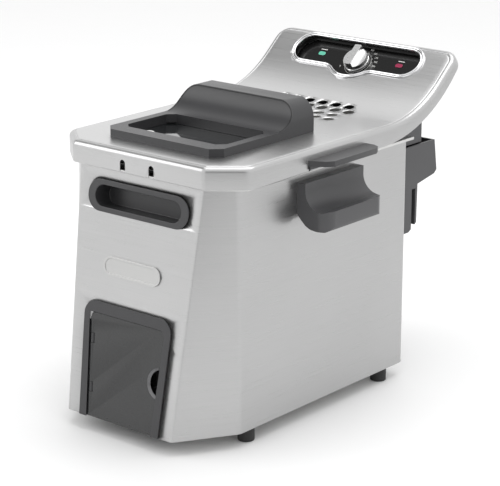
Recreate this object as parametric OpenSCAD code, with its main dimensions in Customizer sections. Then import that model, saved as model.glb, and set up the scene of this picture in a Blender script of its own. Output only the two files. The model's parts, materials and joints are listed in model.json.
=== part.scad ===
// Deep fryer: a steel body with an oil tank and a drain hose, a lift-off lid with a window,
// a wire basket with a folding handle, and a lift-out control unit that carries the heating element.
// +Z is up and the front faces -Y. Inside the modules y counts from the front edge of the side
// walls; place() moves the whole object so that its origin is at the middle of its footprint.

/* [Body] */
// Width across the side walls
body_w = 250; // [244:1:256]
// Depth of the side walls, from their front edge to the rear wall
side_d = 318.8; // [316:0.1:322]
// Height of the body's lower edge above the table
body_z = 18; // [16:1:20]
// Height of the body's top edge
body_top = 308; // [306:1:309]
// Half width of the sloping front face at its top
front_top_x = 94.2; // [90:0.1:98]
// Half width of the sloping front face at its bottom
front_bottom_x = 81.7; // [78:0.1:86]
// Place of the front face's top edge
front_top_y = -27; // [-28:0.5:-24]
// Place of the front face's bottom edge
front_bottom_y = -70.7; // [-74:0.1:-66]
// Thickness of the steel sheet
sheet = 1.5; // [1:0.1:2]

/* [Front grip] */
// Height of the front grip's centre
grip_z = 277; // [274:1:280]
// Length of the front grip's flange
grip_w = 155; // [145:1:160]
// Height of the front grip's flange
grip_h = 38; // [34:1:40]
// Depth of the front grip's recess
grip_depth = 22; // [16:1:24]

/* [Drain bay] */
// Half width of the bay's frame at its top
bay_top_x = 68; // [67:0.5:70]
// Half width of the bay's frame at its bottom
bay_bottom_x = 62; // [61:0.5:64]
// Height of the frame's top edge
bay_top = 155; // [153:1:158]
// Half width of the door at its top
door_top_x = 58; // [57:0.5:59]
// Half width of the door at its bottom
door_bottom_x = 50; // [49:0.5:51]
// Height of the door's top edge
door_top = 141; // [139:1:142]
// Thickness of the door
door_t = 3; // [2.5:0.1:3.2]
// Outer diameter of the drain hose
hose_d = 15; // [13:0.5:16]
// Length of the drain hose below its swivel
hose_len = 76; // [70:1:78]

/* [Carry handles] */
// Front end of the carry handles
scoop_y = 99.5; // [98:0.5:102]
// Length of the carry handles
scoop_len = 110.5; // [104:0.5:114]
// How far the carry handles stand out from the body
scoop_out = 45; // [42:1:46]
// Height of the back plate's top edge
scoop_top = 297; // [294:1:299]

/* [Lid] */
// Width of the lid across its skirt
lid_w = 282; // [280:1:284]
// Height of the lid's flat top
lid_z = 336; // [335:1:337]
// Thickness of the lid's sheet
lid_t = 1.2; // [1:0.1:1.5]
// Radius of the concave rise
rise_r = 162; // [160:1:164]
// Slope of the raised rear part in degrees
slope = 40; // [39:0.5:41]

/* [Hood and window] */
// Half width of the window frame and hood
hood_x = 87.5; // [86:0.5:88.5]
// Height of the hood's ridge
hood_z = 377; // [374:1:379]
// Diameter of the lid's vent holes
vent_d = 14; // [12:1:15]
// Spacing of the vent holes across the lid
vent_pitch = 20.5; // [19:0.5:21]

/* [Tank and basket] */
// Half width of the tank inside
tank_x = 104; // [102:1:106]
// Height of the tank's floor
tank_floor = 150; // [149:1:152]
// Half width of the basket
basket_x = 92; // [88:1:94]
// Height of the basket's floor
basket_floor = 188; // [186:1:194]

/* [Control unit] */
// Depth of the panel below the lid's sloping surface
panel_recess = 10; // [9:0.5:11]
// Diameter of the thermostat knob
knob_d = 33; // [30:1:34]

/* [Hidden] */

// Colours
steel = [0.78, 0.78, 0.77];
dark_grey = [0.24, 0.24, 0.25];
mid_grey = [0.36, 0.36, 0.37];
smoked = [0.16, 0.16, 0.17];
black = [0.05, 0.05, 0.05];
chrome = [0.88, 0.88, 0.9];
rubber = [0.09, 0.09, 0.09];
zinc = [0.7, 0.7, 0.68];

fine = 64;       // facets shown on large rounds
small = 32;      // facets shown on small rounds
touch = 0.05;    // gap between pieces that lie on each other
far = 500;       // larger than the object

// Front face: a plane that leans back
front_run = (front_top_y - front_bottom_y) / (body_top - body_z);
tilt = atan(front_run);
function front_y(z) = front_top_y - (body_top - z) * front_run;
function front_x(z) =
    front_bottom_x + (front_top_x - front_bottom_x) * (z - body_z) / (body_top - body_z);

// Drain bay
frame_proud = 2;
bay_corner = 17;
door_corner = 8;
bay_back_y = -14;
bay_wall = 2.5;
bay_hole_margin = 4;
door_gap = 0.8;
door_front = 0.6;
barrel_r = 3;
barrel_z = -2;
hinge_groove_r = 5.3;
knuckle_web = barrel_r + door_gap + bay_wall - 0.4;   // ends inside the bay's side wall
pin_r = 1.25;
pin_bore_r = 1.3;
pin_len = 18;
knuckle = 12;
knuckle_at = [30, 88];
thumb_r = 18.75;
thumb_x = 56.4;
thumb_z = 80;
door_rise = (door_top - body_z) / cos(tilt);
door_lean = atan((door_top_x - door_bottom_x) / door_rise);
swivel_y = -30;
swivel_z = 128;
hose_x = 25;
pipe_x = 4;
pipe_r = 7;
stub_r = 5;
stub_bore_r = 5.06;
drain_y = 26;
cap_h = 16;
cap_grip = 12;
cap_r = 10.5;
cap_bore_r = hose_d / 2 + 0.06;

// Lid
lid_front_y = -34;
lid_front_x = 100;
lid_side_y = 0.5;
skirt_z = 310;
skirt_side_z = 313;
skirt_arc_y = 245;
skirt_arc_r = 200;
skirt_arc_end = 392;
rise_y = 260;
lid_rear_y = 401;
rear_skirt = 13;
rear_corner = 20;
rise_end_y = rise_y + rise_r * sin(slope);
rise_end_z = lid_z + rise_r * (1 - cos(slope));
lid_rear_z = rise_end_z + (lid_rear_y - rise_end_y) * tan(slope);
slope_y = 380;                                               // reference point of the sloping part
slope_z = rise_end_z + (slope_y - rise_end_y) * tan(slope);
rear_s = (lid_rear_y - slope_y) / cos(slope);                // rear edge, counted up the slope

// Hood and window
frame_top = 346;
frame_y = 3.5;
window_x = 76;
window_y = 25;
window_end = 109;
hood_rear = 178;
cove_r = 36;
cove_y = 110;
ridge_y = 145.6;
hood_round = 25;
hood_wall = 4;
glass_z = 330;
glass_t = 4;
glass_lap = 3;
hood_screw_x = 60;
hood_screw_y = 161.6;

// Slots in the front skirt for the basket handle's wires
slot_w = 8;
slot_top = 325;

// Vent holes: [distance from the front, offset in pitches, count]
vent_rows = [[240, 0, 7], [260, 0.5, 6], [280, 0, 7], [294, 0.5, 6]];

// Bean-shaped panel opening, on the slope
bean_half = 75.5;
bean_r = 25;
bean_s = -3;
belly_r = 40;
belly_s = -2;
belly_blend = 20;
bezel_w = 5;
bezel_proud = 2.5;

// Tank
flange_x = 135;
flange_t = 3.5;
tank_front = 8;
tank_rear = 300;
tank_r = 25;
tank_t = 1.2;
flange_top = body_top + flange_t;

// Basket and its folding handle
basket_front = 20;
basket_rear = 266;
basket_rim = 300;
basket_r = 20;
basket_t = 1.2;
rim_w = 4;
bar_y = [70, 216];
lug_y = 130;
lug_w = 26;
lug_t = 3;
lug_z = flange_top + 0.1;
lug_reach = 20;
wire_x = 22;
wire_r = 2.5;
fold_y = 16;
fold_z = 313;
fold_dip = 18;
wire_len = 88;
wire_in_grip = 30;
grip_len = 62;
ear_t = 3;
ear_x = 27;

// Control unit
block_x = 102;
block_front = 319.8;
block_rear = 379;
block_z = 288.5;
block_t = 2.5;
head_rear = 404;                         // the head overhangs the block at the rear
head_z = [318, 332];                     // and starts between these heights
panel_t = 2;
head_s = 23.5;
plate_t = 2;
lead_in = 14;                            // length of the element's ends inside the block
leg_x = 85;
leg_y = 291;
leg_bend = 10;
leg_top = 315.7;
element_r = 3.3;
element_z = 168;
inner_x = 55;
core_x = 27;
near_y = 50;
back_y = 246;
stay_t = 2;
probe_x = 92;
probe_z = 180;
probe_front = 150;
bulb_r = 3;
capillary_r = 1.3;
lamp_x = 61;
lamp_s = -2.2;
knob_s = -8;                             // the knob's axis, counted up the slope
knob_h = 17;
spindle_r = 3;
lead_x = 50;
lead_y = 364;

// Cord store
store_x = 105;
store_rear = 410;
store_top = 287;
store_z = 176;
store_wall = 2.5;
store_groove = 9;

// Feet
foot_d = 20;
foot_x = 111;
foot_bore = 6;
foot_y = [26.6, 285];

y_min = front_y(body_z) - frame_proud * cos(tilt);
y_mid = (y_min + store_rear) / 2;

module place() { translate([0, -y_mid, 0]) children(); }
module both() { children(); mirror([1, 0, 0]) children(); }

// A drawing in (y, z), extruded across the width
module yz(w) { rotate([90, 0, 90]) linear_extrude(w, center = true) children(); }

// A drawing in (x, z), extruded from y0 to y1
module xz(y0, y1) { translate([0, y1, 0]) rotate([90, 0, 0]) linear_extrude(y1 - y0) children(); }

// Local axes on the front face: x across, y up the face, z out of it
module on_front(z) { translate([0, front_y(z), z]) rotate([90 - tilt, 0, 0]) children(); }

// Local axes on the lid's slope: x across, y up the slope, z out of it
module on_slope(h = 0) {
    translate([0, slope_y, slope_z]) rotate([slope, 0, 0]) translate([0, 0, h]) children();
}

module pill(w, h) {
    square([w - h, h], center = true);
    for (side = [-1, 1]) translate([side * (w - h) / 2, 0]) circle(d = h, $fn = fine);
}

module round_rect(x0, x1, y0, y1, r) {
    translate([x0 + r, y0]) square([x1 - x0 - 2 * r, y1 - y0]);
    translate([x0, y0 + r]) square([x1 - x0, y1 - y0 - 2 * r]);
    for (x = [x0 + r, x1 - r], y = [y0 + r, y1 - r]) translate([x, y]) circle(r, $fn = fine);
}

// Right-hand half of a rounded top corner of a trapezium that stands on y = 0
function corner_arc(bottom, top, h, r) =
    let (lean = atan((top - bottom) / h),
         cx = bottom + (top - bottom) * (h - r) / h - r / cos(lean))
    [for (i = [0 : 8]) let (a = -lean + (90 + lean) * i / 8) [cx + r * cos(a), h - r + r * sin(a)]];

// A trapezium with rounded top corners; the drawing starts at y0
module trapezium(bottom, top, h, r, y0 = 0) {
    right = concat([[bottom + (top - bottom) * y0 / h, y0]], corner_arc(bottom, top, h, r));
    n = len(right);
    polygon(concat(right, [for (i = [n - 1 : -1 : 0]) [-right[i][0], right[i][1]]]));
}

module rod(from, to, r) {
    d = to - from;
    translate(from) rotate([0, acos(d[2] / norm(d)), atan2(d[1], d[0])])
        cylinder(r = r, h = norm(d), $fn = small);
}

// ---------- body ----------

// Plan of the body at one height, set in from the outside by t
function body_ring(z, t) =
    let (fx = front_x(z), fy = front_y(z), sx = body_w / 2,
         chamfer = atan2(-fy, sx - fx),
         side_in = t * tan((90 - chamfer) / 2), front_in = t * tan(chamfer / 2))
    [[sx - t, side_d - t, z], [sx - t, side_in, z], [fx - front_in, fy + t / cos(tilt), z],
     [front_in - fx, fy + t / cos(tilt), z], [t - sx, side_in, z], [t - sx, side_d - t, z]];

module body_block(t, z0, z1) {
    n = 8;
    points = [for (i = [0 : n]) each body_ring(z0 + (z1 - z0) * i / n, t)];
    sides = [for (i = [0 : n - 1], k = [0 : 5])
        let (a = 6 * i + k, b = 6 * i + (k + 1) % 6) each [[b, b + 6, a + 6], [b, a + 6, a]]];
    polyhedron(points, concat([[5, 4, 3, 2, 1, 0], [for (k = [0 : 5]) 6 * n + k]], sides));
}

handle_screw_y = [125, 185];
handle_screw_z = 285;
plate_screw_x = 50;
store_screw_x = 80;
store_screw_z = 215;

module handle_screw_holes(r) {
    for (y = handle_screw_y) translate([0, y, handle_screw_z]) rotate([0, 90, 0])
        cylinder(r = r, h = body_w + 14, center = true, $fn = small);
}

module body_shell() place() color(steel) difference() {
    body_block(0, body_z, body_top);
    body_block(sheet, body_z - 1, body_top + 1);
    on_front(grip_z) linear_extrude(20, center = true) pill(grip_w - 10, grip_h - 5);
    translate([0, 0, body_z])
        xz(-100, -30) trapezium(door_bottom_x + bay_hole_margin, door_top_x + bay_hole_margin,
                                door_top - body_z + bay_hole_margin, door_corner);
    handle_screw_holes(2.3);
    for (side = [-1, 1]) translate([side * store_screw_x, side_d, store_screw_z]) rotate([90, 0, 0])
        cylinder(r = 2.3, h = 20, center = true, $fn = small);
}

module base_plate() place() color(zinc) difference() {
    body_block(sheet + 0.3, body_z, body_z + 2);
    translate([0, 0, body_z - 1])
        xz(-100, bay_back_y + bay_wall + 1) square([2 * (door_bottom_x + 8), 10], center = true);
    for (x = [-foot_x, foot_x], y = foot_y) translate([x, y, body_z - 1])
        cylinder(r = 2.1, h = 5, $fn = small);
}

module rubber_feet() place() color(rubber)
    for (x = [-foot_x, foot_x], y = foot_y) translate([x, y, 0]) difference() {
        cylinder(d = foot_d, h = body_z - touch, $fn = fine);
        translate([0, 0, -1]) cylinder(r = 4.5, h = foot_bore + 1, $fn = small);
        cylinder(r = 2.1, h = body_z, $fn = small);
    }

module foot_screws() place() color(zinc)
    for (x = [-foot_x, foot_x], y = foot_y) translate([x, y, 0]) {
        translate([0, 0, foot_bore - touch - 2.5]) cylinder(r = 4, h = 2.5, $fn = small);
        translate([0, 0, foot_bore - 1]) cylinder(r = 2, h = body_z, $fn = small);
    }

module flange_plan(t) {
    fx = lid_front_x - 2 - t;
    polygon([[-fx, lid_front_y + 5 + t], [fx, lid_front_y + 5 + t], [flange_x - t, 1], [flange_x - t, 316],
             [t - flange_x, 316], [t - flange_x, 1]]);
}

module oil_tank() place() color(steel) difference() {
    union() {
        translate([0, 0, body_top + touch]) linear_extrude(flange_t - touch) flange_plan(0);
        translate([0, 0, tank_floor - tank_t]) linear_extrude(body_top + 1 - tank_floor + tank_t)
            round_rect(-tank_x - tank_t, tank_x + tank_t, tank_front - tank_t, tank_rear + tank_t, tank_r);
        translate([pipe_x, drain_y, tank_floor - 8]) cylinder(r = 9, h = 8, $fn = fine);
    }
    translate([0, 0, tank_floor]) linear_extrude(far)
        round_rect(-tank_x, tank_x, tank_front, tank_rear, tank_r - tank_t);
    translate([pipe_x, drain_y, tank_floor - 10]) cylinder(r = 5, h = 20, $fn = small);
}

// Pipe from the tank's drain to the hose's swivel, with a stub that the hose turns on
module drain_pipe() place() color(zinc) {
    top = tank_floor - 8 - touch;
    difference() {
        union() {
            translate([pipe_x, drain_y, swivel_z]) cylinder(r = pipe_r, h = top - swivel_z, $fn = fine);
            translate([pipe_x, drain_y, swivel_z]) sphere(pipe_r, $fn = fine);
            rod([pipe_x, drain_y, swivel_z], [pipe_x, swivel_y, swivel_z], pipe_r);
            rod([pipe_x - pipe_r, swivel_y, swivel_z], [hose_x - 9, swivel_y, swivel_z], pipe_r);
            rod([pipe_x, swivel_y, swivel_z], [hose_x + 9, swivel_y, swivel_z], stub_r);
        }
        translate([pipe_x, drain_y, swivel_z + pipe_r]) cylinder(r = pipe_r - 2, h = far, $fn = small);
    }
}

module front_grip() place() color(dark_grey) on_front(grip_z) difference() {
    union() {
        translate([0, 0, touch]) linear_extrude(2) pill(grip_w, grip_h);
        translate([0, 0, -grip_depth - 2]) linear_extrude(grip_depth + 3) pill(grip_w - 11, grip_h - 6);
    }
    translate([0, 0, -grip_depth]) linear_extrude(grip_depth + 9) pill(grip_w - 23, grip_h - 13);
}

module blank_badge() place() color(steel) on_front(199) {
    translate([0, 0, touch]) linear_extrude(1.2) pill(88, 23);
    translate([0, 0, 1]) linear_extrude(1.2) difference() {
        pill(88, 23);
        pill(82, 17);
    }
}

// ---------- drain bay, door and hose ----------

// Children lie along the door's hinge line: z runs up it, from the door's lower edge
module on_hinge() {
    on_front(body_z) translate([barrel_r - door_bottom_x, 0, barrel_z])
        rotate([-90, 0, 0]) rotate([0, -door_lean, 0]) children();
}

module drain_bay() place() color(dark_grey) {
    inside = door_gap;
    difference() {
        union() {
            on_front(body_z) translate([0, 0, touch]) linear_extrude(frame_proud - touch)
                trapezium(bay_bottom_x, bay_top_x, (bay_top - body_z) / cos(tilt), bay_corner);
            difference() {
                translate([0, 0, body_z]) xz(-90, bay_back_y + bay_wall)
                    trapezium(door_bottom_x + bay_wall + inside, door_top_x + bay_wall + inside,
                              door_top - body_z + bay_wall + inside, door_corner);
                on_front(body_z) translate([-far / 2, -far / 2, 0.5]) cube(far);
            }
        }
        translate([0, 0, body_z]) xz(-90, bay_back_y)
            trapezium(door_bottom_x + inside, door_top_x + inside, door_top - body_z + inside,
                      door_corner, bay_wall);
        on_front(body_z) translate([0, 0, -door_t - 1]) linear_extrude(far)
            trapezium(door_bottom_x + inside, door_top_x + inside, door_rise + inside, door_corner, -5);
        rod([pipe_x, 0, swivel_z], [pipe_x, swivel_y, swivel_z], pipe_r + 0.3);
        // groove that the door's hinge edge turns in
        on_hinge() translate([0, 0, -3]) cylinder(r = hinge_groove_r, h = door_rise + 3.6, $fn = small);
    }
    on_hinge() for (z = knuckle_at) translate([0, 0, z + touch * 4]) difference() {
        union() {
            cylinder(r = barrel_r, h = knuckle - touch * 8, $fn = small);
            translate([-knuckle_web, 0, 0]) cube([knuckle_web, barrel_r, knuckle - touch * 8]);
        }
        translate([0, 0, -1]) cylinder(r = pin_r, h = knuckle + 2, $fn = small);
    }
}

module door_hinge_pins() place() color(zinc)
    on_hinge() for (z = knuckle_at) translate([0, 0, z - (pin_len - knuckle) / 2])
        cylinder(r = pin_r, h = pin_len, $fn = small);

module drain_door() place() color(smoked) difference() {
    union() {
        on_front(body_z) difference() {
            translate([0, 0, door_front - door_t]) linear_extrude(door_t)
                trapezium(door_bottom_x, door_top_x, door_rise, door_corner, 1);
            translate([thumb_x, (thumb_z - body_z) / cos(tilt), -10])
                cylinder(r = thumb_r, h = 20, $fn = fine);
        }
        on_hinge() translate([0, 0, 5]) cylinder(r = barrel_r, h = door_rise - door_corner - 8, $fn = small);
    }
    on_hinge() for (z = knuckle_at) {
        translate([-barrel_r - 2, -10, z - 0.2]) cube([2 * barrel_r + 3, 20, knuckle + 0.4]);
        translate([0, 0, z - (pin_len - knuckle) / 2 - 0.5])
            cylinder(r = pin_bore_r, h = pin_len + 1, $fn = small);
    }
}

module drain_hose() place() color(black) translate([hose_x, swivel_y, swivel_z]) difference() {
    union() {
        rotate([0, 90, 0]) cylinder(r = 9, h = 15, center = true, $fn = fine);
        translate([0, 0, -hose_len]) cylinder(d = hose_d, h = hose_len, $fn = fine);
    }
    rotate([0, 90, 0]) cylinder(r = stub_bore_r, h = 20, center = true, $fn = fine);
    translate([0, 0, -hose_len - 1]) cylinder(r = hose_d / 2 - 3, h = hose_len - 10, $fn = small);
}

module hose_cap() place() color(mid_grey)
    translate([hose_x, swivel_y, swivel_z - hose_len + cap_grip - cap_h]) difference() {
        union() {
            cylinder(r = cap_r, h = cap_h, $fn = fine);
            cylinder(r = cap_r + 1.5, h = 3, $fn = fine);
        }
        translate([0, 0, cap_h - cap_grip - touch]) cylinder(r = cap_bore_r, h = far, $fn = fine);
    }

// ---------- carry handles ----------

// Cross-section of a carry handle, x counting out from the body's side
lip_top = 267;
lip_z = 243;
lip_t = 5;
back_t = 12.7;
scoop_r = 21.8;
scoop_z = 287.5;
scoop_corner = 16;

module cove(grow) { translate([back_t + scoop_r, scoop_z]) circle(scoop_r + grow, $fn = fine); }

module scoop_outline() {
    difference() {
        polygon([[touch, 260], [touch, scoop_top], [back_t, scoop_top], [back_t, scoop_z],
                 [back_t + scoop_r, lip_top], [scoop_out, lip_top], [scoop_out, lip_z + 6],
                 [scoop_out - 2, lip_z + 2], [scoop_out - 6, lip_z], [28, lip_z], [20, lip_z + 0.8],
                 [13, lip_z + 4], [6, lip_z + 10.5]]);
        cove(0);
    }
}

// Finger space under the lip, open downwards
module scoop_hollow() {
    difference() {
        translate([9, lip_z - 13]) square([scoop_out - lip_t - 9, 32]);
        cove(lip_t);
    }
}

module along_handle(length) {
    translate([body_w / 2, scoop_y + scoop_len / 2, 0]) rotate([90, 0, 0])
        linear_extrude(length, center = true) children();
}

module carry_handle() {
    difference() {
        along_handle(scoop_len) scoop_outline();
        along_handle(scoop_len - 2 * lip_t) scoop_hollow();
        // rounded outer corners in plan
        for (end = [0, 1])
            translate([body_w / 2 + scoop_out - scoop_corner, scoop_y + end * scoop_len, 0])
                mirror([0, end, 0]) translate([0, -1, lip_z - 10]) difference() {
                    cube([scoop_corner + 4, scoop_corner + 1, 45]);
                    translate([0, scoop_corner + 1, -1]) cylinder(r = scoop_corner, h = 60, $fn = fine);
                }
        handle_screw_holes(2.3);
    }
}

module carry_handle_right() place() color(dark_grey) carry_handle();
module carry_handle_left() place() color(dark_grey) mirror([1, 0, 0]) carry_handle();

module handle_screws() place() color(zinc) both() for (y = handle_screw_y) {
    translate([body_w / 2 - sheet - 1, y, handle_screw_z]) rotate([0, 90, 0])
        cylinder(r = 2, h = sheet + 8, $fn = small);
    translate([body_w / 2 - sheet - 3.5, y, handle_screw_z]) rotate([0, 90, 0])
        cylinder(r = 4, h = 3.4, $fn = small);
}

// ---------- cord store at the rear ----------

module cord_store() place() color(mid_grey) difference() {
    yz(2 * store_x) polygon([[side_d + touch, store_z], [352, store_z], [368, store_z + 10],
        [369, 236], [405, 242.5], [store_rear, 247], [404, store_top], [side_d + touch, store_top]]);
    yz(2 * (store_x - store_wall)) polygon([[side_d + store_wall, 246], [403, 246],
        [store_rear - store_wall, 249.5], [404 - store_wall, store_top + 1],
        [side_d + store_wall, store_top + 1]]);
    yz(2 * (store_x - store_groove - store_wall)) polygon([[side_d + store_wall, store_z + store_wall],
        [351, store_z + store_wall], [368 - store_wall, store_z + 12], [369 - store_wall, 247],
        [side_d + store_wall, 247]]);
    both() translate([store_x - store_groove, 357, store_z - 1]) cube([20, 7.5, 56]);
    for (side = [-1, 1]) translate([side * store_screw_x, side_d, store_screw_z]) rotate([-90, 0, 0])
        cylinder(r = 2, h = 14, $fn = small);
}

module store_screws() place() color(zinc)
    for (side = [-1, 1]) translate([side * store_screw_x, side_d, store_screw_z]) rotate([-90, 0, 0]) {
        translate([0, 0, -sheet - 2.5]) cylinder(r = 4, h = 2.4, $fn = small);
        translate([0, 0, -sheet - 1]) cylinder(r = 2 - touch, h = 14, $fn = small);
    }

// ---------- lid ----------

// Everything under the lid's top surface, lowered by t
module under_top(t) {
    difference() {
        polygon([[-far, 0], [-far, lid_z - t], [rise_y, lid_z - t],
                 [rise_end_y + t * sin(slope), rise_end_z - t * cos(slope)],
                 [lid_rear_y + 60 + t * sin(slope), lid_rear_z + 60 * tan(slope) - t * cos(slope)],
                 [lid_rear_y + 60, 0]]);
        translate([rise_y, lid_z + rise_r]) circle(rise_r + t, $fn = fine);
    }
}

// Side view of the lid with its skirt
module lid_side() {
    drop_y = lid_rear_y + rear_skirt * sin(slope);
    drop_z = lid_rear_z - rear_skirt * cos(slope);
    difference() {
        under_top(0);
        polygon([[-far, 0], [-far, skirt_z], [lid_front_y, skirt_z], [skirt_arc_y, skirt_side_z],
                 [skirt_arc_y, 0]]);
        difference() {
            translate([skirt_arc_y - touch, 0]) square([skirt_arc_end - skirt_arc_y + touch, far]);
            translate([skirt_arc_y, skirt_side_z + skirt_arc_r]) circle(skirt_arc_r, $fn = fine);
        }
        polygon([[skirt_arc_end - touch, 0],
                 [skirt_arc_end - touch, skirt_side_z + skirt_arc_r
                     - sqrt(pow(skirt_arc_r, 2) - pow(skirt_arc_end - skirt_arc_y, 2))],
                 [drop_y, drop_z], [drop_y + 80, drop_z + 80], [drop_y + 80, 0]]);
    }
}

// Plan limits of the lid, set in by t: chamfered front corners and rounded rear corners
module lid_limits(t) {
    x = lid_w / 2 - t;
    k = t * tan(25);
    intersection() {
        linear_extrude(far) polygon([[k - lid_front_x, lid_front_y + t], [lid_front_x - k, lid_front_y + t],
            [x, lid_side_y + k], [x, far], [-x, far], [-x, lid_side_y + k]]);
        on_slope(-far / 2) linear_extrude(far)
            round_rect(-x, x, -far, rear_s - t, rear_corner - t);
    }
}

module vents(r, h) {
    for (row = vent_rows, i = [0 : row[2] - 1]) {
        x = (i - (row[2] - 1) / 2) * vent_pitch;
        translate([x, row[0], lid_z - 20]) cylinder(r = r, h = h, $fn = small);
    }
}

// Points along an arc about c, from angle a0 to a1
function arc(c, r, a0, a1, n) =
    [for (i = [0 : n]) let (a = a0 + (a1 - a0) * i / n) [c[0] + r * cos(a), c[1] + r * sin(a)]];

// Bean-shaped outline of the panel opening, grown by d: two round ends and a belly below the knob
module bean(d) {
    blend_s = bean_s - bean_r - belly_blend;
    blend_x = sqrt(pow(belly_r + belly_blend, 2) - pow(belly_s - blend_s, 2));
    turn = atan2(belly_s - blend_s, -blend_x);
    polygon(concat(
        arc([bean_half, bean_s], bean_r + d, -90, 90, 20),
        arc([-bean_half, bean_s], bean_r + d, 90, 270, 20),
        arc([-blend_x, blend_s], belly_blend - d, 90, 180 - turn, 6),
        arc([0, belly_s], belly_r + d, 360 - turn, 180 + turn, 12),
        arc([blend_x, blend_s], belly_blend - d, turn, 90, 6)));
}

// Plan of the window, grown by d
module window_plan(d) {
    round_rect(-window_x - d, window_x + d, window_y - d, window_end + d, max(6, 5 + d));
}

// The pressed lid before its openings are cut
module lid_pressing() difference() {
    intersection() {
        yz(far) lid_side();
        lid_limits(0);
    }
    intersection() {
        yz(far) under_top(lid_t);
        lid_limits(lid_t);
    }
}

module lid_shell() place() color(steel) difference() {
    lid_pressing();
    translate([0, 0, lid_z - 10]) linear_extrude(20) window_plan(glass_lap + 0.3);
    both() translate([hood_screw_x, hood_screw_y, lid_z - 10]) cylinder(r = 1.6, h = 20, $fn = small);
    vents(vent_d / 2, 60);
    on_slope(-15) linear_extrude(40) bean(-3);
    for (side = [-1, 1]) translate([side * wire_x, lid_front_y, 0]) {
        translate([-slot_w / 2, -5, skirt_z - 5]) cube([slot_w, 12, slot_top - skirt_z + 5 - slot_w / 2]);
        translate([0, 7, slot_top - slot_w / 2]) rotate([90, 0, 0])
            cylinder(r = slot_w / 2, h = 12, $fn = small);
    }
    both() for (y = tab_rivet_y) translate([lid_w / 2 - 5, y, tab_z + tab_t / 2]) rotate([0, 90, 0])
        cylinder(r = 1.6, h = 10, $fn = small);
}

liner_z = 318;
liner_rear = 232;

module lid_liner() place() color(steel) difference() {
    translate([0, 0, liner_z]) linear_extrude(1) difference() {
        polygon([[-96, -28], [96, -28], [132, 3], [132, liner_rear], [-132, liner_rear], [-132, 3]]);
        window_plan(-4);
        round_rect(-filter_x - 0.5, filter_x + 0.5, 190, liner_rear + 20, 6);
    }
}

module lid_gasket() place() color(rubber)
    translate([0, 0, flange_top + 0.3]) linear_extrude(liner_z - flange_top - 0.3 - touch) difference() {
        polygon([[-94, -24], [94, -24], [128, 5], [128, 226], [-128, 226], [-128, 5]]);
        polygon([[-90, -16], [90, -16], [121, 10], [121, 260], [-121, 260], [-121, 10]]);
    }

// Side view of the hood behind the window: a finger cove in front, a flat top and a rear wall
module hood_side() {
    difference() {
        polygon([[window_end, lid_z + touch], [window_end, frame_top], [ridge_y, hood_z],
                 [hood_rear, hood_z - 1.3], [hood_rear, lid_z + touch]]);
        translate([cove_y, frame_top + cove_r]) circle(cove_r, $fn = fine);
    }
}

module hood_front_view(t) {
    r = hood_round - t;
    x = hood_x - t;
    translate([-x, lid_z - 20]) square([2 * x, hood_z - t - r - lid_z + 20]);
    translate([r - x, lid_z - 20]) square([2 * (x - r), hood_z - t - lid_z + 20]);
    for (side = [-1, 1]) translate([side * (x - r), hood_z - t - r]) circle(r, $fn = fine);
}

module lid_hood() place() color(dark_grey) {
    chamfer = 12;
    inner = 9;
    difference() {
        translate([0, 0, lid_z + touch]) linear_extrude(frame_top - lid_z - touch) difference() {
            polygon([[chamfer - hood_x, frame_y], [hood_x - chamfer, frame_y], [hood_x, frame_y + chamfer],
                     [hood_x, window_end + touch], [-hood_x, window_end + touch], [-hood_x, frame_y + chamfer]]);
            polygon([[inner - window_x, window_y], [window_x - inner, window_y],
                     [window_x, window_y + inner], [window_x, window_end - inner],
                     [window_x - inner, window_end], [window_x - inner, far], [inner - window_x, far],
                     [inner - window_x, window_end], [-window_x, window_end - inner],
                     [-window_x, window_y + inner]]);
        }
    }
    difference() {
        intersection() {
            yz(far) hood_side();
            xz(-10, 300) hood_front_view(0);
        }
        intersection() {
            translate([-far / 2, ridge_y + 3, lid_z - 5]) cube([far, hood_rear - ridge_y - 3 - hood_wall, far]);
            xz(-10, 300) hood_front_view(hood_wall);
        }
    }
    // bosses that the screws from the lid's inside go into
    both() translate([hood_screw_x, hood_screw_y, lid_z + touch]) difference() {
        cylinder(r = 5, h = hood_z - hood_wall - lid_z, $fn = small);
        translate([0, 0, -1]) cylinder(r = 1.6, h = 20, $fn = small);
    }
    // lip that carries the glass, inside the lid's opening
    translate([0, 0, glass_z + glass_t + 0.3]) linear_extrude(lid_z + 2 * touch - glass_z - glass_t - 0.3)
        difference() {
            window_plan(glass_lap);
            window_plan(0);
        }
}

module window_glass() place() color([0.2, 0.22, 0.22, 0.5])
    translate([0, 0, glass_z]) linear_extrude(glass_t) window_plan(glass_lap);

module window_seal() place() color(rubber)
    translate([0, 0, liner_z + 1 + touch]) linear_extrude(glass_z - liner_z - 1 - 2 * touch) difference() {
        window_plan(glass_lap);
        window_plan(-4);
    }

module hood_screws() place() color(zinc)
    both() translate([hood_screw_x, hood_screw_y, lid_z - lid_t - touch]) {
        translate([0, 0, -1]) cylinder(r = 1.5, h = 16, $fn = small);
        translate([0, 0, -2.4]) cylinder(r = 3.5, h = 2.4, $fn = small);
    }

// Small half-moon catch on the inner front edge of the window frame
module hood_clip() place() color([0.9, 0.9, 0.88])
    translate([-38, window_y + touch, lid_z + 4]) intersection() {
        cylinder(r = 9, h = 4, $fn = small);
        translate([-10, 0, -1]) cube([20, 10, 6]);
    }

module panel_bezel() place() color(chrome) intersection() {
    on_slope(-40) linear_extrude(80) difference() {
        bean(0);
        bean(-bezel_w);
    }
    yz(far) difference() {
        under_top(-bezel_proud);
        under_top(-touch);
    }
}

module bezel_well() place() color(black) intersection() {
    on_slope(touch - panel_recess + 0.6) linear_extrude(40) difference() {
        bean(-3 - touch);
        bean(-bezel_w);
    }
    yz(2 * bean_half + 3 * bean_r) under_top(0);
}

tab_x = 165;
tab_z = 318;
tab_t = 6.5;
tab_rivet_y = [130, 180];

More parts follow.
